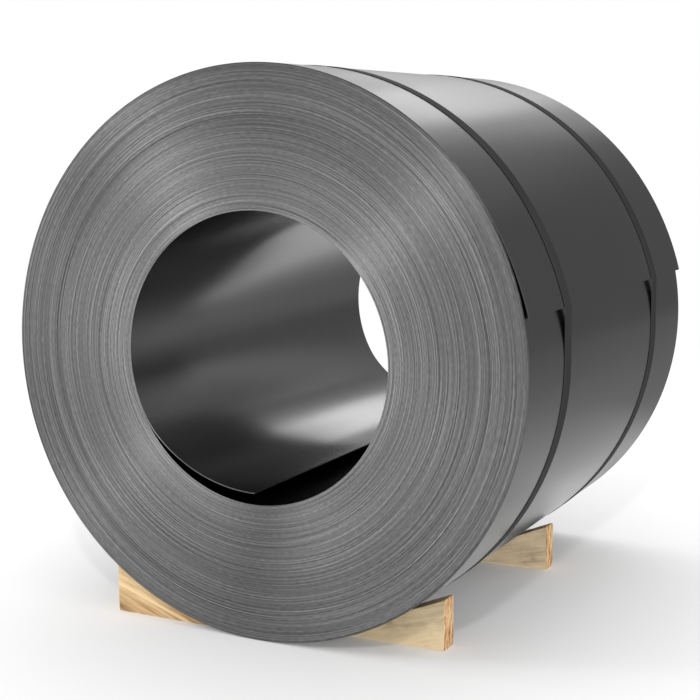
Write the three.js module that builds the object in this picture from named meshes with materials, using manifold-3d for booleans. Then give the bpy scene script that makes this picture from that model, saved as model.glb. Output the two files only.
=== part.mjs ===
// A coil of steel strip lying on four timber wedges, held by two steel straps.
// Millimetres, +Z up. The coil's axis lies along +Y, its front end faces -Y, and the origin is on
// the floor under the middle of the coil.
import * as THREE from 'three';
import { mergeVertices } from 'three/addons/utils/BufferGeometryUtils.js';
import Module from 'manifold-3d';

const wasm = await Module();
wasm.setup();

// Strip and coil
const STRIP_WIDTH = 905;
const STRIP_THICKNESS = 2;
const BORE_DIAMETER = 508; // the winding mandrel's size
const COIL_DIAMETER = 994; // over the outermost wrap, where it lies tight

// The strip's two free ends. Angles are in degrees, anticlockwise from +X, seen from the front.
const TAIL_ANGLE = 11.2; // free end of the outermost wrap
const TAIL_FREE_ARC = 24.6; // how much of that wrap stands off the coil
const TAIL_LIFT = 5; // how far its free end stands off
const HEAD_ANGLE = -90; // free end of the innermost wrap
const HEAD_FREE_ARC = 57;
const HEAD_LIFT = 21.5; // how far it springs into the bore

// The wraps don't line up sideways: the ends are stepped in bands of wraps, each shifted along the
// axis by up to this much either way.
const END_BANDS = 11;
const BAND_SHIFT = 1.6;
const BAND_WANDER = 2.4; // radians of the sine wave from one band to the next
const LOOSE_WRAPS = 4; // wraps at the outside and in the bore that follow the strip's spiral

// Straps round the coil, and the crimped sleeves that join their ends
const STRAP_WIDTH = 36;
const STRAP_THICKNESS = 1;
const STRAP_INSETS = { front: 186, rear: 194 }; // from the coil's nearest end to the strap's middle
const SEAL_LENGTH = 56;
const SEAL_THICKNESS = 1.2;
const SEAL_ANGLE = 150;

// Wedges under the coil, sawn square and laid with the slope against the strip
const WEDGE_LENGTH = 215;
const WEDGE_LENGTH_FRONT_LEFT = 200; // this one is cut shorter
const WEDGE_HEIGHT = 92;
const WEDGE_TOE = 2; // height of the thin end
const WEDGE_THICKNESS = 42;
const WEDGE_INSET_FRONT_RIGHT = 94; // from the coil's front end to the wedge
const WEDGE_INSET_FRONT_LEFT = 25;
const WEDGE_INSET_REAR = 247; // from its rear end, on both sides
const WEDGES = [
  { name: 'chock_front_right', side: 1, end: 'front', inset: WEDGE_INSET_FRONT_RIGHT },
  {
    name: 'chock_front_left', side: -1, end: 'front', inset: WEDGE_INSET_FRONT_LEFT,
    length: WEDGE_LENGTH_FRONT_LEFT,
  },
  { name: 'chock_rear_right', side: 1, end: 'rear', inset: WEDGE_INSET_REAR },
  { name: 'chock_rear_left', side: -1, end: 'rear', inset: WEDGE_INSET_REAR },
];

const CLEARANCE = 0.3; // between pieces that touch
const STEP = 3.75; // degrees between the points of a round outline

const TURN = 360;
const boreRadius = BORE_DIAMETER / 2;
const coilRadius = COIL_DIAMETER / 2;
const loose = LOOSE_WRAPS * STRIP_THICKNESS;

// ---- Outlines, in the plane across the axis: x to the right and y up, about the axis ----

function polar(radius, degrees) {
  const angle = THREE.MathUtils.degToRad(degrees);
  return new THREE.Vector2(radius * Math.cos(angle), radius * Math.sin(angle));
}

// Angles from one to another in even steps, both ends included
function sweep(from, to) {
  const count = Math.max(1, Math.ceil(Math.abs(to - from) / STEP));
  return Array.from({ length: count + 1 }, (_, i) => from + ((to - from) * i) / count);
}

function circle(radius) {
  return sweep(0, TURN).slice(1).map((a) => polar(radius, a));
}

// Outside of the strip, `a` degrees anticlockwise of the tail's end: it loses one thickness a turn,
// and the last stretch before the end stands off the wrap below.
function outsideRadius(a) {
  const free = Math.max(0, 1 - a / TAIL_FREE_ARC);
  return coilRadius - (STRIP_THICKNESS * a) / TURN + TAIL_LIFT * free ** 2;
}

// Bore side of the strip, `a` degrees clockwise of the head's end: it gains one thickness a turn,
// and the first stretch springs into the bore.
function boreSideRadius(a) {
  const held = Math.min(1, a / HEAD_FREE_ARC);
  return boreRadius + (STRIP_THICKNESS * a) / TURN - HEAD_LIFT * (1 - held ** 2);
}

const tailArc = sweep(0, TAIL_FREE_ARC);
const outsideArc = [...tailArc, ...sweep(TAIL_FREE_ARC, TURN).slice(1)];

// Once round the outside from the tail's end, on under the tail, and back along its underside
function outsideOutline() {
  const outside = outsideArc.map((a) => polar(outsideRadius(a), TAIL_ANGLE + a));
  const under = tailArc.slice(1).map((a) => polar(outsideRadius(a + TURN), TAIL_ANGLE + a));
  const back = tailArc.slice(0, -1).reverse();
  const underside = back.map((a) => polar(outsideRadius(a) - STRIP_THICKNESS, TAIL_ANGLE + a));
  return [...outside, ...under, ...underside];
}

// Once round the bore from the head's end, on behind the head, and back along its far side
function boreOutline() {
  const headArc = sweep(0, HEAD_FREE_ARC);
  const boreArc = [...headArc, ...sweep(HEAD_FREE_ARC, TURN).slice(1)];
  const boreSide = boreArc.map((a) => polar(boreSideRadius(a), HEAD_ANGLE - a));
  const behind = headArc.slice(1).map((a) => polar(boreSideRadius(a + TURN), HEAD_ANGLE - a));
  const back = headArc.slice(0, -1).reverse();
  const farSide = back.map((a) => polar(boreSideRadius(a) + STRIP_THICKNESS, HEAD_ANGLE - a));
  return [...boreSide, ...behind, ...farSide];
}

// A strap lies on the coil, and goes straight from the tail's edge to where it meets the wrap below.
function strapOutline(offset) {
  const atTail = outsideRadius(0) + CLEARANCE;
  const below = outsideRadius(TURN) + CLEARANCE;
  const bridge = THREE.MathUtils.radToDeg(Math.acos(below / atTail));
  const angles = [...outsideArc.filter((a) => a < TURN - bridge), TURN - bridge];
  return angles.map((a) => polar(outsideRadius(a) + CLEARANCE + offset, TAIL_ANGLE + a));
}

// ---- Solids ----

// Extrudes an outline across the axis to a solid from y = from to y = to.
function across(outline, from, to, hole) {
  const shape = new THREE.Shape(outline);
  if (hole) shape.holes.push(new THREE.Path(hole));
  const geometry = new THREE.ExtrudeGeometry(shape, { depth: to - from, bevelEnabled: false });
  return geometry.rotateX(Math.PI / 2).translate(0, to, 0);
}

function toSolid(geometry) {
  const bare = geometry.clone();
  bare.deleteAttribute('normal');
  bare.deleteAttribute('uv');
  const merged = mergeVertices(bare, 1e-4);
  return new wasm.Manifold(new wasm.Mesh({
    numProp: 3,
    vertProperties: new Float32Array(merged.attributes.position.array),
    triVerts: new Uint32Array(merged.index.array),
  }));
}

function toGeometry(solid) {
  const { vertProperties, triVerts } = solid.getMesh();
  const geometry = new THREE.BufferGeometry();
  geometry.setAttribute('position', new THREE.BufferAttribute(vertProperties, 3));
  geometry.setIndex(new THREE.BufferAttribute(triVerts, 1));
  geometry.computeVertexNormals();
  return geometry;
}

function join(...geometries) {
  return toGeometry(geometries.map(toSolid).reduce((whole, solid) => whole.add(solid)));
}

// How far band `i` of wraps has slid along the axis. The strip is equally wide all along, so a band
// that sinks in at one end stands out as much at the other.
const bandShift = (i) => BAND_SHIFT * Math.sin(BAND_WANDER * i);

// The tight wraps: a turned body with the same bands on both ends
function turnedBody() {
  const inner = boreRadius + loose - STRIP_THICKNESS;
  const outer = coilRadius - loose + STRIP_THICKNESS;
  const bandHeight = (outer - inner) / END_BANDS;
  const steps = [];
  for (let i = 0; i < END_BANDS; i += 1) {
    const shift = bandShift(i + 1);
    steps.push({ radius: inner + i * bandHeight, shift });
    steps.push({ radius: inner + (i + 1) * bandHeight, shift });
  }
  const front = steps.map(({ radius, shift }) => new THREE.Vector2(radius, shift - STRIP_WIDTH / 2));
  const rear = steps.map(({ radius, shift }) => new THREE.Vector2(radius, shift + STRIP_WIDTH / 2));
  const profile = [...front, ...rear.reverse(), front[0].clone()];
  return new THREE.LatheGeometry(profile, TURN / STEP);
}

function coilGeometry() {
  const ends = (i) => [bandShift(i) - STRIP_WIDTH / 2, bandShift(i) + STRIP_WIDTH / 2];
  const boreWraps = across(circle(boreRadius + loose), ...ends(0), boreOutline());
  const outerWraps = across(outsideOutline(), ...ends(END_BANDS + 1), circle(coilRadius - loose));
  return join(turnedBody(), boreWraps, outerWraps);
}

function strapGeometry(middle) {
  const [from, to] = [middle - STRAP_WIDTH / 2, middle + STRAP_WIDTH / 2];
  return across(strapOutline(STRAP_THICKNESS), from, to, strapOutline(0));
}

// Part of a ring that follows the coil's outside under a seal, between two heights over the coil
function sealArc(low, high, from, to) {
  const middle = SEAL_ANGLE - TAIL_ANGLE;
  const half = THREE.MathUtils.radToDeg(SEAL_LENGTH / 2 / coilRadius);
  const between = outsideArc.filter((a) => a > middle - half && a < middle + half);
  const angles = [middle - half, ...between, middle + half];
  const edge = (height) => angles.map((a) => polar(outsideRadius(a) + height, TAIL_ANGLE + a));
  return across([...edge(high), ...edge(low).reverse()], from, to);
}

// A sleeve bent round the strap: a top plate, and a lip down each side
function sealGeometry(middle) {
  const half = STRAP_WIDTH / 2 + CLEARANCE;
  const outer = half + SEAL_THICKNESS;
  const plate = STRAP_THICKNESS + 2 * CLEARANCE;
  const top = plate + SEAL_THICKNESS;
  return join(
    sealArc(plate, top, middle - outer, middle + outer),
    sealArc(CLEARANCE, top, middle - outer, middle - half),
    sealArc(CLEARANCE, top, middle + half, middle + outer),
  );
}

// The straps' lowest point is on the floor.
const axisHeight = -Math.min(...strapOutline(STRAP_THICKNESS).map((point) => point.y));

// Side view of a wedge, from the floor under the axis: its slope is tangent to the coil.
function wedgeOutline(side, length) {
  const slope = Math.atan2(WEDGE_HEIGHT - WEDGE_TOE, length);
  const touchAngle = -90 + side * THREE.MathUtils.radToDeg(slope);
  const touchRadius = outsideRadius((touchAngle - TAIL_ANGLE + TURN) % TURN) + CLEARANCE;
  const toe = (touchRadius - Math.cos(slope) * (axisHeight - WEDGE_TOE)) / Math.sin(slope);
  const heel = toe + length;
  const corners = [[toe, 0], [heel, 0], [heel, WEDGE_HEIGHT], [toe, WEDGE_TOE]];
  return corners.map(([x, z]) => new THREE.Vector2(side * x, z));
}

// A wedge whose outer face is `inset` in from the nearest end of the coil
function wedgeGeometry({ side, end, inset, length = WEDGE_LENGTH }) {
  const from = end === 'front' ? inset - STRIP_WIDTH / 2 : STRIP_WIDTH / 2 - inset - WEDGE_THICKNESS;
  return across(wedgeOutline(side, length), from, from + WEDGE_THICKNESS);
}

// ---- Scene ----

const steel = { color: 0x8b8e91, metalness: 0.85, roughness: 0.38 };
const strapSteel = { color: 0x3a3c3f, metalness: 0.7, roughness: 0.5 };
const sealSteel = { color: 0x55585b, metalness: 0.8, roughness: 0.42 };
const timber = { color: 0xcfa56b, metalness: 0, roughness: 0.8 };

function piece(name, geometry, finish) {
  const mesh = new THREE.Mesh(geometry, new THREE.MeshStandardMaterial(finish));
  mesh.name = name;
  return mesh;
}

const bundle = new THREE.Group();
bundle.position.z = axisHeight;
bundle.add(piece('coil', coilGeometry(), steel));
for (const [end, inset] of Object.entries(STRAP_INSETS)) {
  const middle = (end === 'front' ? -1 : 1) * (STRIP_WIDTH / 2 - inset);
  bundle.add(piece(`strap_${end}`, strapGeometry(middle), strapSteel));
  bundle.add(piece(`strap_seal_${end}`, sealGeometry(middle), sealSteel));
}

const part = new THREE.Group();
part.add(bundle);
for (const wedge of WEDGES) part.add(piece(wedge.name, wedgeGeometry(wedge), timber));

export default part;
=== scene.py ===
"""A coil of cold-rolled steel strip on four sawn pine wedges, held by two steel straps.

Metres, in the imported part's frame: the coil's axis lies along +Y, its front end faces -Y, +Z is up.
Angles round the coil are in degrees, anticlockwise from +X as seen from the front. Places along the
strip are counted in wraps from its head, the free end in the bore, to its tail, the free end outside.
"""

import math

import bmesh
import bpy
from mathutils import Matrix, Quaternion, Vector, noise as mathnoise


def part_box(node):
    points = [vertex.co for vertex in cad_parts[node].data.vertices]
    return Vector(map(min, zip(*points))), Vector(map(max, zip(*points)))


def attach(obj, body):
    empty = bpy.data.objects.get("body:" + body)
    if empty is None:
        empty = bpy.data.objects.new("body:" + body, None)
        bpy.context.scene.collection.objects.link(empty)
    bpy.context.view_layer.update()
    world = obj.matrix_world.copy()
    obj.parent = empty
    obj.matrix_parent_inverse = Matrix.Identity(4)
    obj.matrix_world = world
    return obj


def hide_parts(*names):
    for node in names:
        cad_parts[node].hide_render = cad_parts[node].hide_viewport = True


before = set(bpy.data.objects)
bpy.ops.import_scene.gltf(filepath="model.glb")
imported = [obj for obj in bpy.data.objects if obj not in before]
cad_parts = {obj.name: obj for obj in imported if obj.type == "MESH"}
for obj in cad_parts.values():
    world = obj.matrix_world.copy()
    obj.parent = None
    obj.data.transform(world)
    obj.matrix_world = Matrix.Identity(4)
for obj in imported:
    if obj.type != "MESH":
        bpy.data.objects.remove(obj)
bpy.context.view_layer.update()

MM = 0.001
TURN = 360.0
DEGREE = math.pi / 180
SAME_PLACE = 0.002 * MM  # points no further apart than this are one

# Strip and coil
BORE_RADIUS = 251.6 * MM  # the first wraps lie a little inside the solid's bore
COIL_RADIUS = 497 * MM  # over the outermost wrap, where it lies tight
HEAD_ANGLE = -90.0
TAIL_ANGLE = 11.2
WRAPS = 121 + (HEAD_ANGLE - TAIL_ANGLE) / TURN  # from the head to the tail
PITCH = (COIL_RADIUS - BORE_RADIUS) / (WRAPS + 1)
AIR = 0.03 * MM  # between one wrap and the next
COIL_WIDTH = 905 * MM
HEAD_FREE = 57.0 / TURN  # wraps that the head has sprung loose
HEAD_LIFT = 19.1 * MM
HEAD_BLEND = 0.2  # how gently the free stretch leaves the wraps behind it
TAIL_FREE = 24.6 / TURN
TAIL_LIFT = 6.2 * MM

# The coil is made in three lengths: the wraps in the bore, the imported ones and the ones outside.
BORE_WRAPS = 2
PACKED_WRAPS = 117
FIRST_OUTER_WRAP = BORE_WRAPS + PACKED_WRAPS

# The wraps slip sideways against each other, in slow waves and from one wrap to the next.
SLOW_SLIP = 1.8 * MM
FAST_SLIP = 0.4 * MM

# A strap's and a loose wrap's section: a flat bar of eight points, with its corners cut
BAR_POINTS = 8
BAR_CORNER = 0.2 * MM

# Straps
STRAP_WIDTH = 32 * MM
STRAP_SHIFT = -2 * MM  # from the middles of their solids, which are 4 mm wider: the front edges agree
STRAP_THICKNESS = 1 * MM
SEAT = 0.3 * MM  # between the coil and a strap
STRAP_STEP = 0.8  # degrees between the points of a strap
LAP_START = 130.4  # where a strap starts and comes to lie over itself, in degrees past the tail
LAP_STEPS = 22
LAP_RISE = 2 * STRAP_STEP  # degrees in which the upper end climbs onto the lower one
LAP_GAP = 0.05 * MM

# Seals over the laps
SEAL_ANGLE = 150.0
SEAL_LENGTH = 56 * MM
SEAL_THICKNESS = 1.2 * MM
SEAL_PLAY = 0.2 * MM  # between a seal and its strap
SEAL_STEPS = 48  # along a seal
CRIMPS = (-13 * MM, 13 * MM)  # from a seal's middle
CRIMP_LENGTH = 2.6 * MM
CRIMP_DEPTH = 0.55 * MM

# Wedges
WEDGE_TOE = 2 * MM
WEDGE_BEVEL = 0.7 * MM
WEDGE_MESH = (4 * MM, 2.5 * MM, 4 * MM)  # between points along x, y and z
EDGE_WEAR = 6 * MM  # how far wear reaches in from an edge
CORNER_WEAR = 8 * MM  # and from a corner, where it is deepest
SAW_ROUGHNESS = 0.2 * MM
FIBRE_ROUGHNESS = 0.25 * MM

# Wood: a pale and a dark colour of each kind
TAN = (0.60, 0.475, 0.30), (0.42, 0.32, 0.19)
# Paler in part as painted light: the rear right wedge, which has it, stands in the coil's shade
FADED_AND_PAINTED_LIGHT = (0.82, 0.66, 0.44), (0.56, 0.44, 0.28)
GOLDEN = (0.66, 0.48, 0.265), (0.41, 0.25, 0.115)
END_GRAIN = (0.95, 0.66, 0.36), (0.40, 0.17, 0.06)
RINGS = 75.0  # in a metre
GRAIN_SQUEEZE = 0.22  # its pattern is so much slower along the grain
GRAIN_WAVE = 20 * MM
KNOT_SWIRL = 12 * MM

# Camera
CAMERA_PLACE = (1.2567, -2.5685, 0.8857)
CAMERA_AZIMUTH = 26.878
CAMERA_ELEVATION = 8.623
LENS, SENSOR = 75.32, 36.0  # millimetres

# Studio: what the lamps are aimed at, and where the lamps behind the coil and the dark cards are
FRONT_END = (0, -0.45, 0.5)
FROM_ABOVE = (0, 0.4, 0.5)
FROM_BEHIND = (0, 0, 0.7)
REAR_LAMPS_Y = 4.6
REAR_CARD_Y = 5.0
FLOOR_CARDS_Z = 0.01


def strip_radius(wrap):
    """Bore side of the strip, from the axis, away from its head."""
    tail = max(0.0, 1 - (WRAPS - wrap) / TAIL_FREE) ** 2
    return BORE_RADIUS + PITCH * wrap + TAIL_LIFT * tail


def outside_radius(from_tail):
    """Outside of the coil, so many degrees anticlockwise of the tail's end."""
    return strip_radius(WRAPS - from_tail / TURN) + PITCH


# The straps stand on the floor.
AXIS_Z = outside_radius((-90 - TAIL_ANGLE) % TURN) + SEAT + STRAP_THICKNESS

# A strap goes straight from the tail's edge to where it meets the wrap below it.
STRAP_AT_TAIL = outside_radius(0) + SEAT
STRAP_BELOW_TAIL = outside_radius(TURN) + SEAT
BRIDGE = math.degrees(math.acos(STRAP_BELOW_TAIL / STRAP_AT_TAIL))


# ---- Node trees ----

class Field:
    """A number in a node tree, shader or geometry, that is reckoned with like any other."""

    def __init__(self, tree, socket):
        self.tree, self.socket = tree, socket

    def math(self, operation, *others):
        node = self.tree.nodes.new("ShaderNodeMath")
        node.operation = operation
        for slot, value in zip(node.inputs, (self, *others)):
            feed(slot, value)
        return Field(self.tree, node.outputs[0])

    def __add__(self, other):
        return self.math("ADD", other)

    def __sub__(self, other):
        return self.math("SUBTRACT", other)

    def __mul__(self, other):
        return self.math("MULTIPLY", other)

    def __truediv__(self, other):
        return self.math("DIVIDE", other)

    def __rsub__(self, other):
        return self * -1 + other

    __radd__ = __add__

    def above(self, other):
        return self.math("GREATER_THAN", other)

    def most(self, other):
        return self.math("MAXIMUM", other)

    def least(self, other):
        return self.math("MINIMUM", other)

    def absolute(self):
        return self.math("ABSOLUTE")

    def power(self, exponent):
        return self.math("POWER", exponent)

    def between(self, low, high):
        """0 at low, 1 at high and straight between them."""
        return ((self - low) / (high - low)).most(0).least(1)


def feed(slot, value):
    """Sets an input to a number, or links a field or a socket to it."""
    if isinstance(value, Field):
        value = value.socket
    if isinstance(value, bpy.types.NodeSocket):
        slot.node.id_data.links.new(value, slot)
    else:
        slot.default_value = value


def add(tree, kind, settings=None, **values):
    """A new node, with its settings, and values or links for its inputs by name."""
    node = tree.nodes.new(kind)
    for name, value in (settings or {}).items():
        setattr(node, name, value)
    for name, value in values.items():
        feed(node.inputs[name.replace("_", " ")], value)
    return node


def wander(where, scale, detail=2.0, seed=0.0):
    """A field from about -1 to 1 that wanders along a line."""
    node = add(where.tree, "ShaderNodeTexNoise", {"noise_dimensions": "1D"}, Scale=1.0, Detail=detail,
               W=where * scale + seed)
    return Field(where.tree, node.outputs[0]) * 2 - 1


def vector(tree, x=0.0, y=0.0, z=0.0):
    return add(tree, "ShaderNodeCombineXYZ", X=x, Y=y, Z=z).outputs[0]


def parts_of(tree, socket):
    """The three fields of a vector."""
    node = add(tree, "ShaderNodeSeparateXYZ", Vector=socket)
    return [Field(tree, output) for output in node.outputs]


# ---- Objects and meshes ----

def new_object(name, data):
    """An object in the scene, at the origin."""
    piece = bpy.data.objects.new(name, data)
    bpy.context.scene.collection.objects.link(piece)
    return piece


def from_bmesh(name, work):
    """An object whose mesh is the finished bmesh."""
    mesh = bpy.data.meshes.new(name)
    work.to_mesh(mesh)
    work.free()
    return new_object(name, mesh)


def shade(piece, sharp=30.0):
    """Smooth, apart from edges that turn by more than so many degrees."""
    piece.data.shade_smooth()
    piece.data.set_sharp_from_angle(angle=math.radians(sharp))


def close(piece):
    """Merges the seams, fills the open ends and turns the faces outwards."""
    work = bmesh.new()
    work.from_mesh(piece.data)
    bmesh.ops.remove_doubles(work, verts=work.verts, dist=SAME_PLACE)
    bmesh.ops.holes_fill(work, edges=[edge for edge in work.edges if edge.is_boundary], sides=0)
    bmesh.ops.recalc_face_normals(work, faces=work.faces)
    work.to_mesh(piece.data)
    work.free()
    shade(piece)


def drop_spare_slots(piece):
    """Takes out the material slots that hold nothing."""
    mesh = piece.data
    wanted = [i for i, finish in enumerate(mesh.materials) if finish]
    order = {old: new for new, old in enumerate(wanted)}
    numbers = [order.get(face.material_index, 0) for face in mesh.polygons]
    finishes = [mesh.materials[i] for i in wanted]
    mesh.materials.clear()
    for finish in finishes:
        mesh.materials.append(finish)
    mesh.polygons.foreach_set("material_index", numbers)


# ---- Shapes grown by node trees ----

def new_shape(name, **inputs):
    """An empty geometry tree with named inputs, and those inputs as fields."""
    tree = bpy.data.node_groups.new(name, "GeometryNodeTree")
    kinds = {float: "NodeSocketFloat", int: "NodeSocketInt"}
    for label, value in inputs.items():
        kind = kinds.get(type(value), "NodeSocketMaterial")
        socket = tree.interface.new_socket(label.replace("_", " "), in_out="INPUT", socket_type=kind)
        if value is not None:
            socket.default_value = value
    tree.interface.new_socket("Geometry", in_out="OUTPUT", socket_type="NodeSocketGeometry")
    entry = tree.nodes.new("NodeGroupInput")
    return tree, {s.name: Field(tree, s) for s in entry.outputs if s.name}


def finish_shape(tree, geometry, finishes):
    """Ends a tree in Realize Instances and a Set Material for each finish, on all or some faces."""
    geometry = add(tree, "GeometryNodeRealizeInstances", Geometry=geometry).outputs[0]
    for finish, faces in finishes:
        node = add(tree, "GeometryNodeSetMaterial", Geometry=geometry, Material=finish)
        if faces is not None:
            feed(node.inputs["Selection"], faces)
        geometry = node.outputs[0]
    feed(tree.nodes.new("NodeGroupOutput").inputs[0], geometry)


def grow(name, tree, **inputs):
    """Runs a tree once and keeps what it makes as a plain mesh object."""
    piece = new_object(name, bpy.data.meshes.new(name))
    modifier = piece.modifiers.new("Shape", "NODES")
    modifier.node_group = tree
    for item in tree.interface.items_tree:
        label = item.name.replace(" ", "_")
        if item.in_out == "INPUT" and label in inputs:
            modifier[item.identifier] = inputs[label]
    depsgraph = bpy.context.evaluated_depsgraph_get()
    mesh = bpy.data.meshes.new_from_object(piece.evaluated_get(depsgraph), depsgraph=depsgraph)
    piece.modifiers.clear()
    piece.data = mesh
    mesh.name = name
    close(piece)
    drop_spare_slots(piece)
    return piece


def sheet(tree, columns, rows):
    """A sheet of columns by rows of faces, and each point's column and row as fields."""
    grid = add(tree, "GeometryNodeMeshGrid", Size_X=columns, Size_Y=rows,
               Vertices_X=columns + 1, Vertices_Y=rows + 1)
    x, y, _ = parts_of(tree, tree.nodes.new("GeometryNodeInputPosition").outputs[0])
    return grid.outputs["Mesh"], (x + columns / 2).math("ROUND"), (y + rows / 2).math("ROUND")


def place(tree, mesh, radius, angle, along):
    """Moves each point to a radius, an angle in degrees and a distance along the axis."""
    turned = angle * DEGREE
    x, z = radius * turned.math("COSINE"), radius * turned.math("SINE") + AXIS_Z
    position = vector(tree, x, along, z)
    return add(tree, "GeometryNodeSetPosition", Geometry=mesh, Position=position).outputs[0]


def store(tree, geometry, name, value):
    return add(tree, "GeometryNodeStoreNamedAttribute", {"data_type": "FLOAT"}, Name=name,
               Geometry=geometry, Value=value).outputs[0]


def facing_ends(tree):
    """1 on the faces that look along the coil's axis, and 0 elsewhere."""
    normal = tree.nodes.new("GeometryNodeInputNormal").outputs[0]
    return parts_of(tree, normal)[1].absolute().above(0.5)


def slip(wrap):
    """How far the strip has slipped along the axis, as a field."""
    slow = wander(wrap, scale=0.13, seed=3.7)
    fast = wander(wrap, scale=8.0, detail=1.0)
    return slow * SLOW_SLIP + fast * FAST_SLIP


def packed_wraps_shape():
    """The tight wraps as one body: each has a flat edge at both ends, with a groove before it."""
    tree, given = new_shape("Packed wraps", Wraps=1, First_Wrap=0.0, Segments=120, Groove=0.25 * MM,
                            Groove_Depth=0.6 * MM, Width=COIL_WIDTH, Edge_Finish=None)
    # A point in each groove and two at each edge's corners, up the front end and down the rear one
    last = given["Wraps"] * 3  # points across one end, less one
    around = last * 2 + 2
    mesh, column, row = sheet(tree, given["Segments"], around)
    at_front = 1 - row.above(last + 0.5) * (1 - row.above(around - 0.5))
    point = row.math("MODULO", around) * at_front + (around - 1 - row) * (1 - at_front)
    corner = point.math("MODULO", 3.0)  # 0 in the groove, 1 and 2 at the edge's corners
    turned = column / given["Segments"]
    wrap = (point / 3).math("FLOOR") + turned + given["First Wrap"]
    in_groove = 1 - corner.above(0.5)
    uneven = (wander(wrap, scale=7.0, seed=31.0) * 1.6 + 1).most(0.3)
    groove = given["Groove"] * uneven
    off = groove / 2 * corner.above(0.5) + (PITCH - groove) * corner.above(1.5)
    side = 1 - at_front * 2
    proud, before = slip(wrap) * side, slip(wrap - 1) * side
    sunk = proud.least(before) - given["Groove Depth"]
    along = (given["Width"] / 2 + sunk * in_groove + proud * (1 - in_groove)) * side
    mesh = store(tree, mesh, "wrap", wrap)
    mesh = place(tree, mesh, wrap * PITCH + BORE_RADIUS + off, HEAD_ANGLE - turned * TURN, along)
    finish_shape(tree, mesh, [(given["Edge Finish"], None)])
    return tree


def bar_section(row, thickness, width, corner):
    """A flat bar's section, point by point: height and place across, as fields."""
    step = TURN / BAR_POINTS
    turned = (row.math("MODULO", BAR_POINTS) * step + step / 2) * DEGREE
    up, across = turned.math("SINE"), turned.math("COSINE")
    is_up, is_across = up.absolute().above(0.5), across.absolute().above(0.5)
    height = up.math("SIGN") * (thickness / 2 - corner * (1 - is_up)) + thickness / 2
    return height, across.math("SIGN") * (width / 2 - corner * (1 - is_across))


def loose_wraps_shape():
    """A length of strip along its spiral, with the sprung head or the lifted tail at its end."""
    tree, given = new_shape("Loose wraps", First_Wrap=0.0, Wraps=1.0, Segments=360, Thickness=PITCH - AIR,
                            Width=COIL_WIDTH, Corner=BAR_CORNER, Face_Finish=None, Edge_Finish=None)
    mesh, column, row = sheet(tree, given["Segments"], BAR_POINTS)
    wound = column / given["Segments"] * given["Wraps"]
    wrap = wound + given["First Wrap"]
    height, across = bar_section(row, given["Thickness"], given["Width"], given["Corner"])
    free = 1 - (wrap / HEAD_FREE).power(2)
    head = (free + (free * free + HEAD_BLEND ** 2).math("SQRT")) / 2
    tail = (1 - (WRAPS - wrap) / TAIL_FREE).most(0).power(2)
    radius = BORE_RADIUS + wrap * PITCH - head * HEAD_LIFT + tail * TAIL_LIFT + height
    mesh = store(tree, mesh, "wrap", wrap)
    mesh = place(tree, mesh, radius, HEAD_ANGLE - wound * TURN, across + slip(wrap))
    finish_shape(tree, mesh, [(given["Face Finish"], None), (given["Edge Finish"], facing_ends(tree))])
    return tree


def strap_shape():
    """A strap that follows the coil's outside, bridges below the tail and laps over its own end."""
    tree, given = new_shape("Strap", Middle=0.0, Width=STRAP_WIDTH, Thickness=STRAP_THICKNESS,
                            Corner=BAR_CORNER, Segments=round(TURN / STRAP_STEP) + LAP_STEPS, Finish=None)
    mesh, column, row = sheet(tree, given["Segments"], BAR_POINTS)
    run = column * STRAP_STEP + LAP_START
    height, across = bar_section(row, given["Thickness"], given["Width"], given["Corner"])
    from_tail = run.math("MODULO", TURN)
    free = (1 - from_tail / (TAIL_FREE * TURN)).most(0).power(2)
    on_coil = COIL_RADIUS + SEAT - from_tail * (PITCH / TURN) + free * TAIL_LIFT
    past = (from_tail - (TURN - BRIDGE)).most(0) * DEGREE
    bridging = past.above(1e-6)  # more than the rounding of the angle
    bridge = past.math("COSINE").power(-1) * STRAP_BELOW_TAIL
    radius = on_coil * (1 - bridging) + bridge * bridging
    lap = LAP_START + TURN
    lift = run.between(lap - LAP_RISE, lap) * (given["Thickness"] + LAP_GAP)
    mesh = store(tree, mesh, "run", run * (DEGREE * COIL_RADIUS))
    on_side = across.absolute().above((given["Width"] - given["Corner"]) / 2)
    mesh = store(tree, mesh, "sheared", on_side)
    mesh = place(tree, mesh, radius + lift + height, run + TAIL_ANGLE, across + given["Middle"])
    finish_shape(tree, mesh, [(given["Finish"], None)])
    return tree


# ---- Materials ----
# Noise runs along the strip, per wrap, or in space, per metre, and a seed only picks its pattern.

def new_material(name, **sockets):
    """A Principled material, its tree and its shader, with plain values on the shader's sockets."""
    material = bpy.data.materials.new(name)
    material.use_nodes = True
    tree = material.node_tree
    shader = tree.nodes["Principled BSDF"]
    for label, value in sockets.items():
        feed(shader.inputs[label.replace("_", " ")], value)
    return material, tree, shader


def attribute(tree, name):
    return Field(tree, add(tree, "ShaderNodeAttribute", {"attribute_name": name}).outputs["Fac"])


def object_place(tree):
    return tree.nodes.new("ShaderNodeTexCoord").outputs["Object"]


def mapped(tree, socket, settings=None, **values):
    return add(tree, "ShaderNodeMapping", settings, Vector=socket, **values).outputs[0]


def mottle(tree, where, scale, detail=2.0, roughness=0.5):
    """A field from about -1 to 1 that wanders in space."""
    node = add(tree, "ShaderNodeTexNoise", Vector=where, Scale=scale, Detail=detail, Roughness=roughness)
    return Field(tree, node.outputs[0]) * 2 - 1


def tones(tree, amount, stops):
    """A colour that runs through stops of (place, colour)."""
    node = add(tree, "ShaderNodeValToRGB", Fac=amount)
    ramp = node.color_ramp
    while len(ramp.elements) < len(stops):
        ramp.elements.new(1)
    for element, (position, colour) in zip(ramp.elements, stops):
        element.position = position
        element.color = (*colour, 1)
    return node.outputs[0]


def grey(value):
    return (value, value, value)


def bump(tree, shader, height, distance, strength=1.0):
    node = add(tree, "ShaderNodeBump", Height=height, Distance=distance, Strength=strength)
    feed(shader.inputs["Normal"], node.outputs[0])


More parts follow.
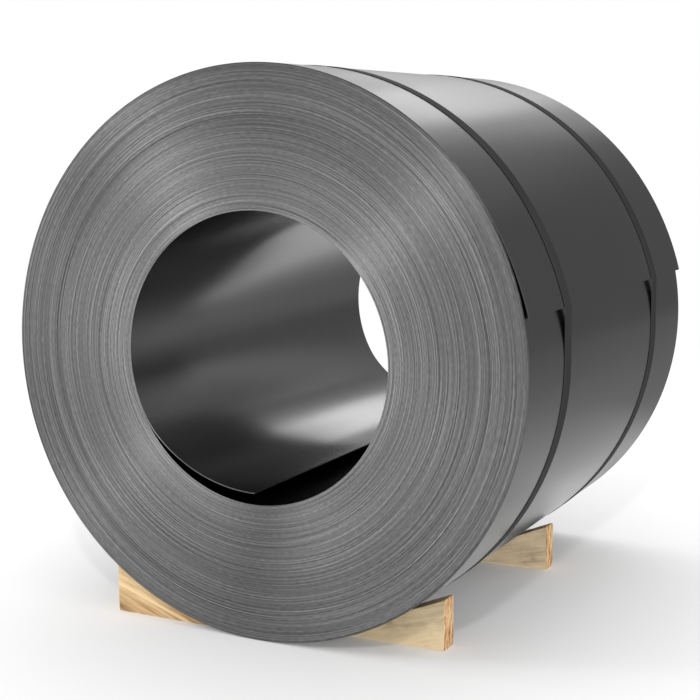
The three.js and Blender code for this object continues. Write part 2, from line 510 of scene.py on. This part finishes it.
def slit_edge_material():
    """The strip's slit edges, side by side: no two wraps alike, and each changes along its length."""
    material, tree, shader = new_material("Slit strip edge", Metallic=1.0, Anisotropic=0.9)
    wrap = attribute(tree, "wrap")
    x, _, z = parts_of(tree, object_place(tree))
    outward = add(tree, "ShaderNodeVectorMath", {"operation": "NORMALIZE"})
    feed(outward.inputs[0], vector(tree, x, 0.0, z - AXIS_Z))
    feed(shader.inputs["Tangent"], outward.outputs[0])
    round_x, _, round_z = parts_of(tree, outward.outputs[0])

    def band(turns, around, seed):
        """Broad bands, so many wraps wide, that come and go round the coil."""
        where = vector(tree, round_x * around + seed, round_z * around, wrap / turns)
        return mottle(tree, where, scale=1.0, detail=1.0)

    # Along the strip, so that each wrap has a tone of its own
    own, before = (wander(at, scale=5.5, detail=1.5, seed=5.0) for at in (wrap, wrap - 1))
    stretch = own - before * 0.6
    burr = wander(wrap, scale=2.3, detail=0.0, seed=45.0)
    bright_burr, dull_burr = burr.between(0.3, 0.7), (burr * -1).between(0.3, 0.7)
    nicks = wander(wrap, scale=220.0, detail=0.0, seed=11.0)
    fine = stretch * 0.46 + bright_burr * 0.18 - dull_burr * 0.15 + nicks * 0.12

    # Across the wraps: bands of them, a paler end towards the bore, and painted highlight and shade round
    # the coil
    bands = (band(turns=6.0, around=1.0, seed=21.0) * 0.03 + band(turns=14.0, around=0.9, seed=33.0) * 0.05
             + band(turns=30.0, around=0.8, seed=57.0) * 0.09)
    # Painted highlight and shade: paler at the top, on the left near the bore, and in the upper right and
    # lower left quarters
    painted_sheen_quarters = round_x * round_z
    pale_bore_and_painted_sheen = (1 - wrap.between(0, 50)) * (round_x * -0.06 + painted_sheen_quarters * 0.15 + 0.09)
    broad = bands - wrap.between(0, WRAPS) * 0.15 + pale_bore_and_painted_sheen + round_z * 0.04 + painted_sheen_quarters * 0.03

    # Painted shade on the lifted tail's edge, and darker too on the sprung head's edge and over the
    # outermost wraps
    tail_painted_shade = wrap.between(WRAPS - TAIL_FREE, WRAPS - TAIL_FREE / 2)
    on_head = 1 - wrap.between(HEAD_FREE / 2, HEAD_FREE)
    outermost = wrap.between(WRAPS - 2.5, WRAPS - 1)
    tone = fine + broad + 0.55 - (tail_painted_shade + on_head) * 0.35 - outermost * 0.17
    feed(shader.inputs["Base Color"], tones(tree, tone, [
        (0.0, grey(0.09)), (0.5, grey(0.22)), (1.0, grey(0.42))]))
    feed(shader.inputs["Roughness"], tone * -0.1 + 0.5)
    return material


def rolled_steel_material():
    """The strip's face: satin, with faint streaks along the way it was rolled, and duller outside."""
    material, tree, shader = new_material("Rolled steel face", Metallic=1.0,
                                          Specular_Tint=(0.7, 0.7, 0.7, 1))
    wrap = attribute(tree, "wrap")
    _, across, _ = parts_of(tree, object_place(tree))
    streaks = mottle(tree, vector(tree, wrap * 2.0, across * 160.0), scale=1.0, detail=4.0, roughness=0.6)
    cloud = mottle(tree, vector(tree, wrap * 6.0, across * 5.0), scale=1.0)
    feed(shader.inputs["Base Color"], tones(tree, streaks * 0.35 + cloud * 0.15 + 0.5, [
        (0.2, grey(0.23)), (0.8, grey(0.27))]))
    outside = wrap.between(BORE_WRAPS, FIRST_OUTER_WRAP)
    feed(shader.inputs["Roughness"], streaks * 0.03 + cloud * 0.02 + outside * 0.02 + 0.2)
    bump(tree, shader, streaks, 0.02 * MM)
    return material


def strapping_material():
    """Blued steel strapping, nearly black, with paler sheared sides."""
    material, tree, shader = new_material("Blued strapping", Metallic=0.0, Specular_IOR_Level=0.015)
    run = attribute(tree, "run")
    _, across, _ = parts_of(tree, object_place(tree))
    streaks = mottle(tree, vector(tree, run * 8.0, across * 500.0), scale=1.0, detail=4.0, roughness=0.6)
    cloud = mottle(tree, vector(tree, run * 5.0, across * 20.0), scale=1.0)
    tone = (streaks + cloud) * 0.04 + 0.1 + attribute(tree, "sheared") * 0.2
    feed(shader.inputs["Base Color"], tones(tree, tone, [
        (0.07, grey(0.026)), (0.13, grey(0.042)), (0.8, grey(0.16))]))
    feed(shader.inputs["Roughness"], streaks * 0.06 + 0.5)
    return material


def seal_material():
    """Zinc on a pressed seal."""
    material, tree, shader = new_material("Zinc-coated seal", Metallic=0.9)
    spangle = mottle(tree, object_place(tree), scale=260.0, detail=3.0, roughness=0.6)
    feed(shader.inputs["Base Color"], tones(tree, spangle * 0.5 + 0.5, [
        (0.2, grey(0.24)), (0.8, grey(0.38))]))
    feed(shader.inputs["Roughness"], spangle * 0.08 + 0.38)
    return material


def pine_material(name, wood, lie, heart, ring=0.3, foot=0.0, knots=(), streaks=()):
    """Sawn pine. Its grain rises by lie degrees along x, round a heart at (y, z), with rings as strong as
    ring. Its foot is darker by foot, or paler where that is negative. The grain bends round knots, each
    at (x, z) and of a size, and pale streaks run along it, each through (x, z) and of a width."""
    pale, dark = wood
    material, tree, shader = new_material(name, Metallic=0.0, Specular_IOR_Level=0.25)
    placed = object_place(tree)
    turned = mapped(tree, placed, {"vector_type": "TEXTURE"}, Rotation=(0, math.radians(-lie), 0))
    stretched = mapped(tree, turned, Location=(0, -heart[0], -heart[1]), Scale=(GRAIN_SQUEEZE, 1, 1))
    cloud = mottle(tree, stretched, scale=30.0, detail=3.0, roughness=0.6)
    patch = mottle(tree, placed, scale=22.0, detail=3.0, roughness=0.55)
    bend = mottle(tree, stretched, scale=14.0) * GRAIN_WAVE
    x, _, z = parts_of(tree, placed)
    spots = []
    for knot_x, knot_z, size in knots:
        off_x, off_z = x - knot_x, z - knot_z
        near = (off_x * off_x * 0.5 + off_z * off_z).math("SQRT") / size
        spots.append((near * -1.0).math("EXPONENT"))
        bend = bend + spots[-1] * KNOT_SWIRL
    _, y, up = parts_of(tree, stretched)
    distance = (y * y + up * up).math("SQRT") + bend
    rings = (distance * RINGS).math("FRACT").power(1.6)
    fibre = mottle(tree, mapped(tree, turned, Scale=(14, 230, 230)), scale=1.0, detail=4.0, roughness=0.65)
    tone = (rings - 0.4) * ring + cloud * 0.4 + patch * 0.35 + fibre * 0.45 + 0.36
    # Darker or paler below 5 cm by foot; on the front right wedge the paler foot is a painted highlight
    # below the coil's shade
    tone = tone + (1 - (z + patch * 0.03).between(0.0, 0.05)) * foot
    for spot in spots:
        tone = tone + spot * 0.45
    along, upward = math.cos(math.radians(lie)), math.sin(math.radians(lie))
    for streak_x, streak_z, width in streaks:
        off = (z - streak_z) * along - (x - streak_x) * upward + bend * 0.3
        tone = tone - (off * off / -(width * width)).math("EXPONENT") * 0.5
    feed(shader.inputs["Base Color"], tones(tree, tone, [
        (0.0, tuple(min(1.0, c * 1.2) for c in pale)), (0.35, pale), (0.75, dark),
        (1.0, tuple(c * 0.6 for c in dark))]))
    feed(shader.inputs["Roughness"], fibre * 0.08 + 0.72)
    bump(tree, shader, rings * -0.3 + fibre, 0.6 * MM, 0.8)
    return material


def end_grain_material(pale, dark):
    """Torn fibres on a sawn end, in rows that run from top to bottom."""
    material, tree, shader = new_material("Pine end grain", Metallic=0.0, Specular_IOR_Level=0.2)
    placed = object_place(tree)
    _, y, z = parts_of(tree, placed)
    y = y + mottle(tree, placed, scale=30.0) * (12 * MM)
    rows = mottle(tree, vector(tree, 0.0, y * 210.0, z * 26.0), scale=1.0, detail=3.0, roughness=0.6)
    torn = mottle(tree, vector(tree, 0.0, y * 480.0, z * 130.0), scale=1.0, detail=4.0, roughness=0.7)
    feed(shader.inputs["Base Color"], tones(tree, rows * 2.0 + torn * 1.2 + 0.45, [
        (0.0, pale), (0.5, tuple((a + b) / 2 for a, b in zip(pale, dark))), (1.0, dark)]))
    feed(shader.inputs["Roughness"], torn * 0.06 + 0.82)
    bump(tree, shader, rows * 0.6 + torn, 1.2 * MM, 0.9)
    return material


# ---- Pieces ----

def keep(piece, node):
    """The piece rides on the part's one body and stands for the CAD solid named."""
    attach(piece, "root")
    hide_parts(node)


def make_coil():
    edge, face = slit_edge_material(), rolled_steel_material()
    packed = grow("packed_wraps", packed_wraps_shape(), Wraps=PACKED_WRAPS,
                  First_Wrap=float(BORE_WRAPS), Edge_Finish=edge)
    loose = loose_wraps_shape()
    inner = grow("bore_wraps", loose, First_Wrap=0.0, Wraps=float(BORE_WRAPS), Segments=720,
                 Face_Finish=face, Edge_Finish=edge)
    outer = grow("outer_wraps", loose, First_Wrap=float(FIRST_OUTER_WRAP), Wraps=WRAPS - FIRST_OUTER_WRAP,
                 Segments=620, Face_Finish=face, Edge_Finish=edge)
    for piece in (packed, inner, outer):
        keep(piece, "coil")


def strap_middle(end):
    """Where the front or rear strap's middle lies along the axis."""
    low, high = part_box(f"strap_{end}")
    return (low.y + high.y) / 2 + STRAP_SHIFT


def make_straps():
    shape, finish = strap_shape(), strapping_material()
    for end in ("front", "rear"):
        band = grow(f"strapping_{end}", shape, Middle=strap_middle(end), Finish=finish)
        keep(band, f"strap_{end}")


def seal_section(pressed):
    """Half of a seal's section, from the middle of its top round to the middle of its underside."""
    under = SEAT + 2 * STRAP_THICKNESS + SEAL_PLAY
    top = under + SEAL_THICKNESS
    inner = STRAP_WIDTH / 2 + SEAL_PLAY
    outer = inner + SEAL_THICKNESS
    pinch = pressed * CRIMP_DEPTH
    foot = outer + pinch
    return [(0.0, top), (outer * 0.6, top), (outer - 1.6 * MM, top - pinch * 0.4),
            (outer - 0.5 * MM, top - 0.4 * MM - pinch), (outer, under - pinch),
            (foot, SEAT + 0.4 * MM), (foot - 0.3 * MM, SEAT), (inner, SEAT),
            (inner, under - 0.3 * MM), (inner - 0.4 * MM, under), (0.0, under)]


def make_seals():
    """Pressed channels over the straps' laps, each crimped twice along both its edges."""
    finish = seal_material()
    for end in ("front", "rear"):
        middle = strap_middle(end)
        work = bmesh.new()
        rings = []
        for i in range(SEAL_STEPS + 1):
            along = (i / SEAL_STEPS - 0.5) * SEAL_LENGTH
            half = seal_section(max(math.exp(-((along - crimp) / CRIMP_LENGTH) ** 2) for crimp in CRIMPS))
            ring = half + [(-across, height) for across, height in half[-2:0:-1]]
            angle = SEAL_ANGLE + math.degrees(along / COIL_RADIUS)
            on_coil = outside_radius(angle - TAIL_ANGLE)
            x, z = math.cos(math.radians(angle)), math.sin(math.radians(angle))
            rings.append([work.verts.new(((on_coil + height) * x, middle + across,
                                          (on_coil + height) * z + AXIS_Z)) for across, height in ring])
        count = len(rings[0])
        for one, other in zip(rings, rings[1:]):
            for i in range(count):
                j = (i + 1) % count
                work.faces.new((one[i], one[j], other[j], other[i]))
        seal = from_bmesh(f"crimped_seal_{end}", work)
        seal.data.materials.append(finish)
        close(seal)
        keep(seal, f"strap_seal_{end}")


def wedge_block(low, high, toe, heel):
    """A wedge with its edges broken, and its faces cut up finely enough to be worn."""
    work = bmesh.new()
    outline = [(toe, 0.0), (heel, 0.0), (heel, high.z), (toe, WEDGE_TOE)]
    front = work.faces.new([work.verts.new((x, low.y, z)) for x, z in outline])
    swept = bmesh.ops.extrude_face_region(work, geom=[front])["geom"]
    moved = [v for v in swept if isinstance(v, bmesh.types.BMVert)]
    bmesh.ops.translate(work, verts=moved, vec=(0, high.y - low.y, 0))
    bmesh.ops.recalc_face_normals(work, faces=work.faces)
    bmesh.ops.bevel(work, geom=list(work.edges), offset=WEDGE_BEVEL, segments=2, affect="EDGES",
                    profile=0.5, clamp_overlap=True)
    for axis, step in enumerate(WEDGE_MESH):
        across = Vector([float(i == axis) for i in range(3)])
        for i in range(1, int((high[axis] - low[axis]) / step)):
            geometry = work.verts[:] + work.edges[:] + work.faces[:]
            bmesh.ops.bisect_plane(work, geom=geometry, plane_co=across * (low[axis] + i * step),
                                   plane_no=across)
    work.normal_update()
    return work


def wear_wedge(work, low, high, toe, heel, ragged):
    """Roughens a wedge's faces and wears its edges and corners down, by about ragged at an edge."""
    run, rise = abs(heel - toe), high.z - WEDGE_TOE
    middle = Vector(((low.x + high.x) / 2, (low.y + high.y) / 2, high.z * 0.35))
    moves = []
    for vertex in work.verts:
        spot = vertex.co
        below_slope = WEDGE_TOE + rise * abs(spot.x - toe) / run - spot.z
        # How deep the point lies under each of the five faces, the nearest ones first
        near = sorted((spot.y - low.y, high.y - spot.y, abs(heel - spot.x), spot.z,
                       below_slope * run / math.hypot(run, rise)))
        worn = max(0.0, 1 - near[0] / EDGE_WEAR) * max(0.0, 1 - near[1] / EDGE_WEAR)
        worn = worn * (0.5 + 1.3 * max(0.0, 1 - near[2] / CORNER_WEAR))
        uneven = max(0.2, 1 + 0.9 * mathnoise.noise(spot * 95))
        rough = (SAW_ROUGHNESS * (1 + mathnoise.noise(spot * 60))
                 + FIBRE_ROUGHNESS * mathnoise.noise(spot * 300))
        moves.append((vertex, (middle - spot).normalized(), max(0.0, rough) + ragged * worn * uneven))
    for vertex, inwards, depth in moves:
        vertex.co -= (vertex.normal - inwards * 0.4).normalized() * depth


def make_wedge(name, node, sides, ends, ragged):
    """A sawn wedge: corners knocked round, faces a little rough, and end grain at its heel."""
    low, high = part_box(node)
    toe, heel = (low.x, high.x) if high.x > 0 else (high.x, low.x)
    work = wedge_block(low, high, toe, heel)
    wear_wedge(work, low, high, toe, heel, ragged)
    piece = from_bmesh(name, work)
    piece.data.materials.append(sides)
    piece.data.materials.append(ends)
    for face in piece.data.polygons:
        at_heel = abs(face.center.x - heel) < EDGE_WEAR
        face.material_index = int(abs(face.normal.x) > 0.75 and at_heel)
    shade(piece, sharp=50.0)
    keep(piece, node)


def make_wedges():
    ends = end_grain_material(*END_GRAIN)
    # Its paler foot is a painted highlight below the coil's shade
    front_right = dict(wood=TAN, lie=17.0, heart=(-0.32, 0.03), ring=0.12, foot=-0.5,
                       knots=[(0.215, 0.035, 0.010), (0.292, 0.03, 0.005)])
    front_left = dict(wood=GOLDEN, lie=-19.0, heart=(-0.39, 0.15), ring=0.16, foot=0.35,
                      knots=[(-0.335, -0.004, 0.022)], streaks=[(-0.286, 0.046, 0.0025)])
    # Its paler wood is partly painted light, the wedge standing in the coil's shade
    rear_right = dict(wood=FADED_AND_PAINTED_LIGHT, lie=14.0, heart=(0.18, 0.06), ring=0.1, foot=0.05,
                      knots=[(0.288, 0.022, 0.006), (0.272, 0.01, 0.004)])
    rear_left = dict(wood=GOLDEN, lie=-12.0, heart=(0.16, 0.13))
    for corner, grain, ragged in (
            ("front_right", front_right, 1.0 * MM), ("front_left", front_left, 0.6 * MM),
            ("rear_right", rear_right, 1.8 * MM), ("rear_left", rear_left, 1.4 * MM)):
        sides = pine_material("Pine " + corner.replace("_", " "), **grain)
        make_wedge(f"wedge_{corner}", f"chock_{corner}", sides, ends, ragged)


# ---- Studio ----

def make_camera():
    data = bpy.data.cameras.new("Camera")
    data.lens, data.sensor_width = LENS, SENSOR
    camera = new_object("Camera", data)
    camera.location = CAMERA_PLACE
    azimuth, elevation = math.radians(CAMERA_AZIMUTH), math.radians(CAMERA_ELEVATION)
    back = Vector((math.sin(azimuth) * math.cos(elevation), -math.cos(azimuth) * math.cos(elevation),
                   math.sin(elevation)))
    camera.rotation_mode = "QUATERNION"
    camera.rotation_quaternion = (-back).to_track_quat("-Z", "Y")
    bpy.context.scene.camera = camera


def rays(tree, *kinds):
    """1 for rays of the kinds named, and 0 for others."""
    path = tree.nodes.new("ShaderNodeLightPath")
    fields = [Field(tree, path.outputs[f"Is {kind} Ray"]) for kind in kinds]
    return sum(fields[1:], fields[0]).least(1)


def seen_directly(tree):
    """1 for rays from the camera, by themselves or off metal and through glass."""
    return rays(tree, "Camera", "Glossy", "Transmission")


def make_world(fill):
    """White where it is seen, and a plain soft fill otherwise."""
    world = bpy.data.worlds.new("Studio")
    bpy.context.scene.world = world
    world.use_nodes = True
    background = world.node_tree.nodes["Background"]
    background.inputs["Color"].default_value = (1, 1, 1, 1)
    feed(background.inputs["Strength"], seen_directly(world.node_tree) * (1 - fill) + fill)


def make_floor(half=30.0, fades_from=1.0, white_from=3.5):
    """A pale floor that fades to the white background a few metres off."""
    mesh = bpy.data.meshes.new("floor")
    mesh.from_pydata([(-half, -half, 0), (half, -half, 0), (half, half, 0), (-half, half, 0)], [],
                     [(0, 1, 2, 3)])
    floor = new_object("floor", mesh)
    material, tree, shader = new_material("Studio floor", Roughness=1.0, Specular_IOR_Level=0.0,
                                          Base_Color=(0.85, 0.85, 0.85, 1), Emission_Color=(1, 1, 1, 1))
    x, y, _ = parts_of(tree, object_place(tree))
    seen = seen_directly(tree)
    # It glows faintly, more so where steel mirrors it and as a soft light from below.
    feed(shader.inputs["Emission Strength"], seen * 0.08 + rays(tree, "Glossy") * 0.25 + (1 - seen) * 0.4)
    white = add(tree, "ShaderNodeEmission", Color=(1, 1, 1, 1), Strength=1.0)
    far = (x * x + y * y).math("SQRT").between(fades_from, white_from)
    blend = add(tree, "ShaderNodeMixShader", Fac=seen * far)
    feed(blend.inputs[1], shader.outputs[0])
    feed(blend.inputs[2], white.outputs[0])
    feed(tree.nodes["Material Output"].inputs["Surface"], blend.outputs[0])
    mesh.materials.append(material)


def make_softbox(name, at, aim, size, power, roll=0.0, only=None):
    """A soft rectangular lamp, turned by a roll in degrees, for every piece or only for one."""
    data = bpy.data.lights.new(name, "AREA")
    data.shape, (data.size, data.size_y) = "RECTANGLE", size
    data.energy = power
    lamp = new_object(name, data)
    lamp.location = at
    lamp.rotation_mode = "QUATERNION"
    aimed = (Vector(aim) - Vector(at)).to_track_quat("-Z", "Y")
    lamp.rotation_quaternion = aimed @ Quaternion((0, 0, 1), math.radians(roll))
    lamp.visible_camera = False
    if only:
        lit = bpy.data.collections.new(name + " lights")
        lit.objects.link(bpy.data.objects[only])
        lamp.light_linking.receiver_collection = lit


def make_flag(name, corners, fades=None, tone=0.22):
    """A dark card that only shiny surfaces see, and that may fade in across its width."""
    mesh = bpy.data.meshes.new(name)
    mesh.from_pydata(corners, [], [tuple(range(len(corners)))])
    flag = new_object(name, mesh)
    material, tree, shader = new_material(name + " card", Roughness=1.0, Base_Color=(0, 0, 0, 1),
                                          Specular_IOR_Level=0.0, Emission_Color=(*grey(tone), 1),
                                          Emission_Strength=1.0)
    if fades:
        feed(shader.inputs["Alpha"], fades(tree))
    mesh.materials.append(material)
    for ray in ("camera", "diffuse", "shadow", "transmission"):
        setattr(flag, "visible_" + ray, False)


def floor_fade(tree):
    """Dark beside and behind the coil, and lighter the nearer the coil's foot."""
    x, y, _ = parts_of(tree, object_place(tree))
    # It is dark beyond a line that starts to the right of the coil and swings left behind it.
    foot = 0.4 - ((y - 0.35).most(0).power(1.3) * 0.35).least(0.75)
    light = ((x - foot).most(0) / 0.23 + 1).power(-1)
    just_behind = (1 - y.between(0.95, 1.15)) * y.between(0.5, 0.9) * (1 - x.between(0.25, 0.38))
    further_back = x.between(-0.1, 0.3) * (1 - x.between(0.6, 0.9)) * y.between(1.1, 1.3)
    return 1 - light * (1 - further_back * 0.5) * (1 - just_behind * 0.8)


def rear_fade(tree):
    """Dark to the right and low down, and clear to the upper left."""
    x, _, z = parts_of(tree, object_place(tree))
    beside = (x - (z - 2.3) * 0.45 + 0.85).most(0)  # to the right of a line that leans right
    return 1 - (beside / -0.55).math("EXPONENT") * z.between(1.2, 2.2)


def arc_corners(near, far, reach):
    """Corners of an upright arc round the front end: near and far are its edges' x, for a reach of 1."""
    _, front, axis = FRONT_END
    heights = [0.02 + 0.1 * i for i in range(9)]
    edge = [[(reach * x, front - reach * math.sqrt(1 - x * x - h * h), axis + reach * (h - 0.1))
             for h in heights] for x in (near, far)]
    return edge[0] + edge[1][::-1]


def make_studio():
    make_world(fill=0.95)
    make_floor()
    make_softbox("overhead", (-0.3, 1.1, 3.2), FROM_ABOVE, (3.5, 2.4), 30)
    make_softbox("key", (2.2, -5.0, 4.0), FRONT_END, (0.3, 0.3), 75)
    make_softbox("side", (-4.6, -3.4, 2.8), FRONT_END, (1.2, 1.2), 52)
    make_softbox("low_side", (-2.2, -2.0, 0.35), FRONT_END, (0.6, 0.9), 2.8)
    # Behind the coil, each for one piece: name, x, z, size, power, roll and piece
    for name, x, z, size, power, roll, only in (
            ("back_light", -0.85, 2.95, (1.0, 0.8), 2.5, 0, "outer_wraps"),
            ("back_wide", -0.95, 2.5, (2.2, 1.2), 2.3, 0, "outer_wraps"),
            ("back_fill", 0.9, 2.8, (1.8, 0.9), 0.5, 0, "outer_wraps"),
            ("bore_light", -1.08, 2.43, (1.4, 0.45), 4.8, -36, "bore_wraps"),
            ("bore_fill", 1.85, 2.02, (3.2, 0.5), 1.8, 39, "bore_wraps")):
        make_softbox(name, (x, REAR_LAMPS_Y, z), FROM_BEHIND, size, power, roll, only)
    # The dark cards: behind the coil, before its front end, under it and on the floor beside it
    make_flag("flag_rear", [(x, REAR_CARD_Y, z) for x, z in ((-9, 0), (9, 0), (9, 7), (-9, 7))], rear_fade)
    make_flag("flag_front", arc_corners(-0.38, -0.50, 5.0))
    make_flag("flag_front_floor", [(x, y, FLOOR_CARDS_Z) for x, y in (
        (-0.07, -0.65), (-0.13, -0.6), (-2.65, -4.69), (-1.9, -5.07))])
    make_flag("flag_wedge", [(x, 0.16, z) for x, z in (
        (0.09, 0.0), (0.33, 0.0), (0.33, 0.105), (0.09, 0.01))], tone=0.1)
    make_flag("flag_floor", [(x, y, FLOOR_CARDS_Z) for x, y in (
        (-0.5, -0.8), (9, -0.8), (9, REAR_CARD_Y), (-0.5, REAR_CARD_Y))], floor_fade)


# The camera comes first, then the pieces, then the studio.
bpy.context.scene.view_settings.view_transform = "Standard"
make_camera()
make_coil()
make_straps()
make_seals()
make_wedges()
make_studio()
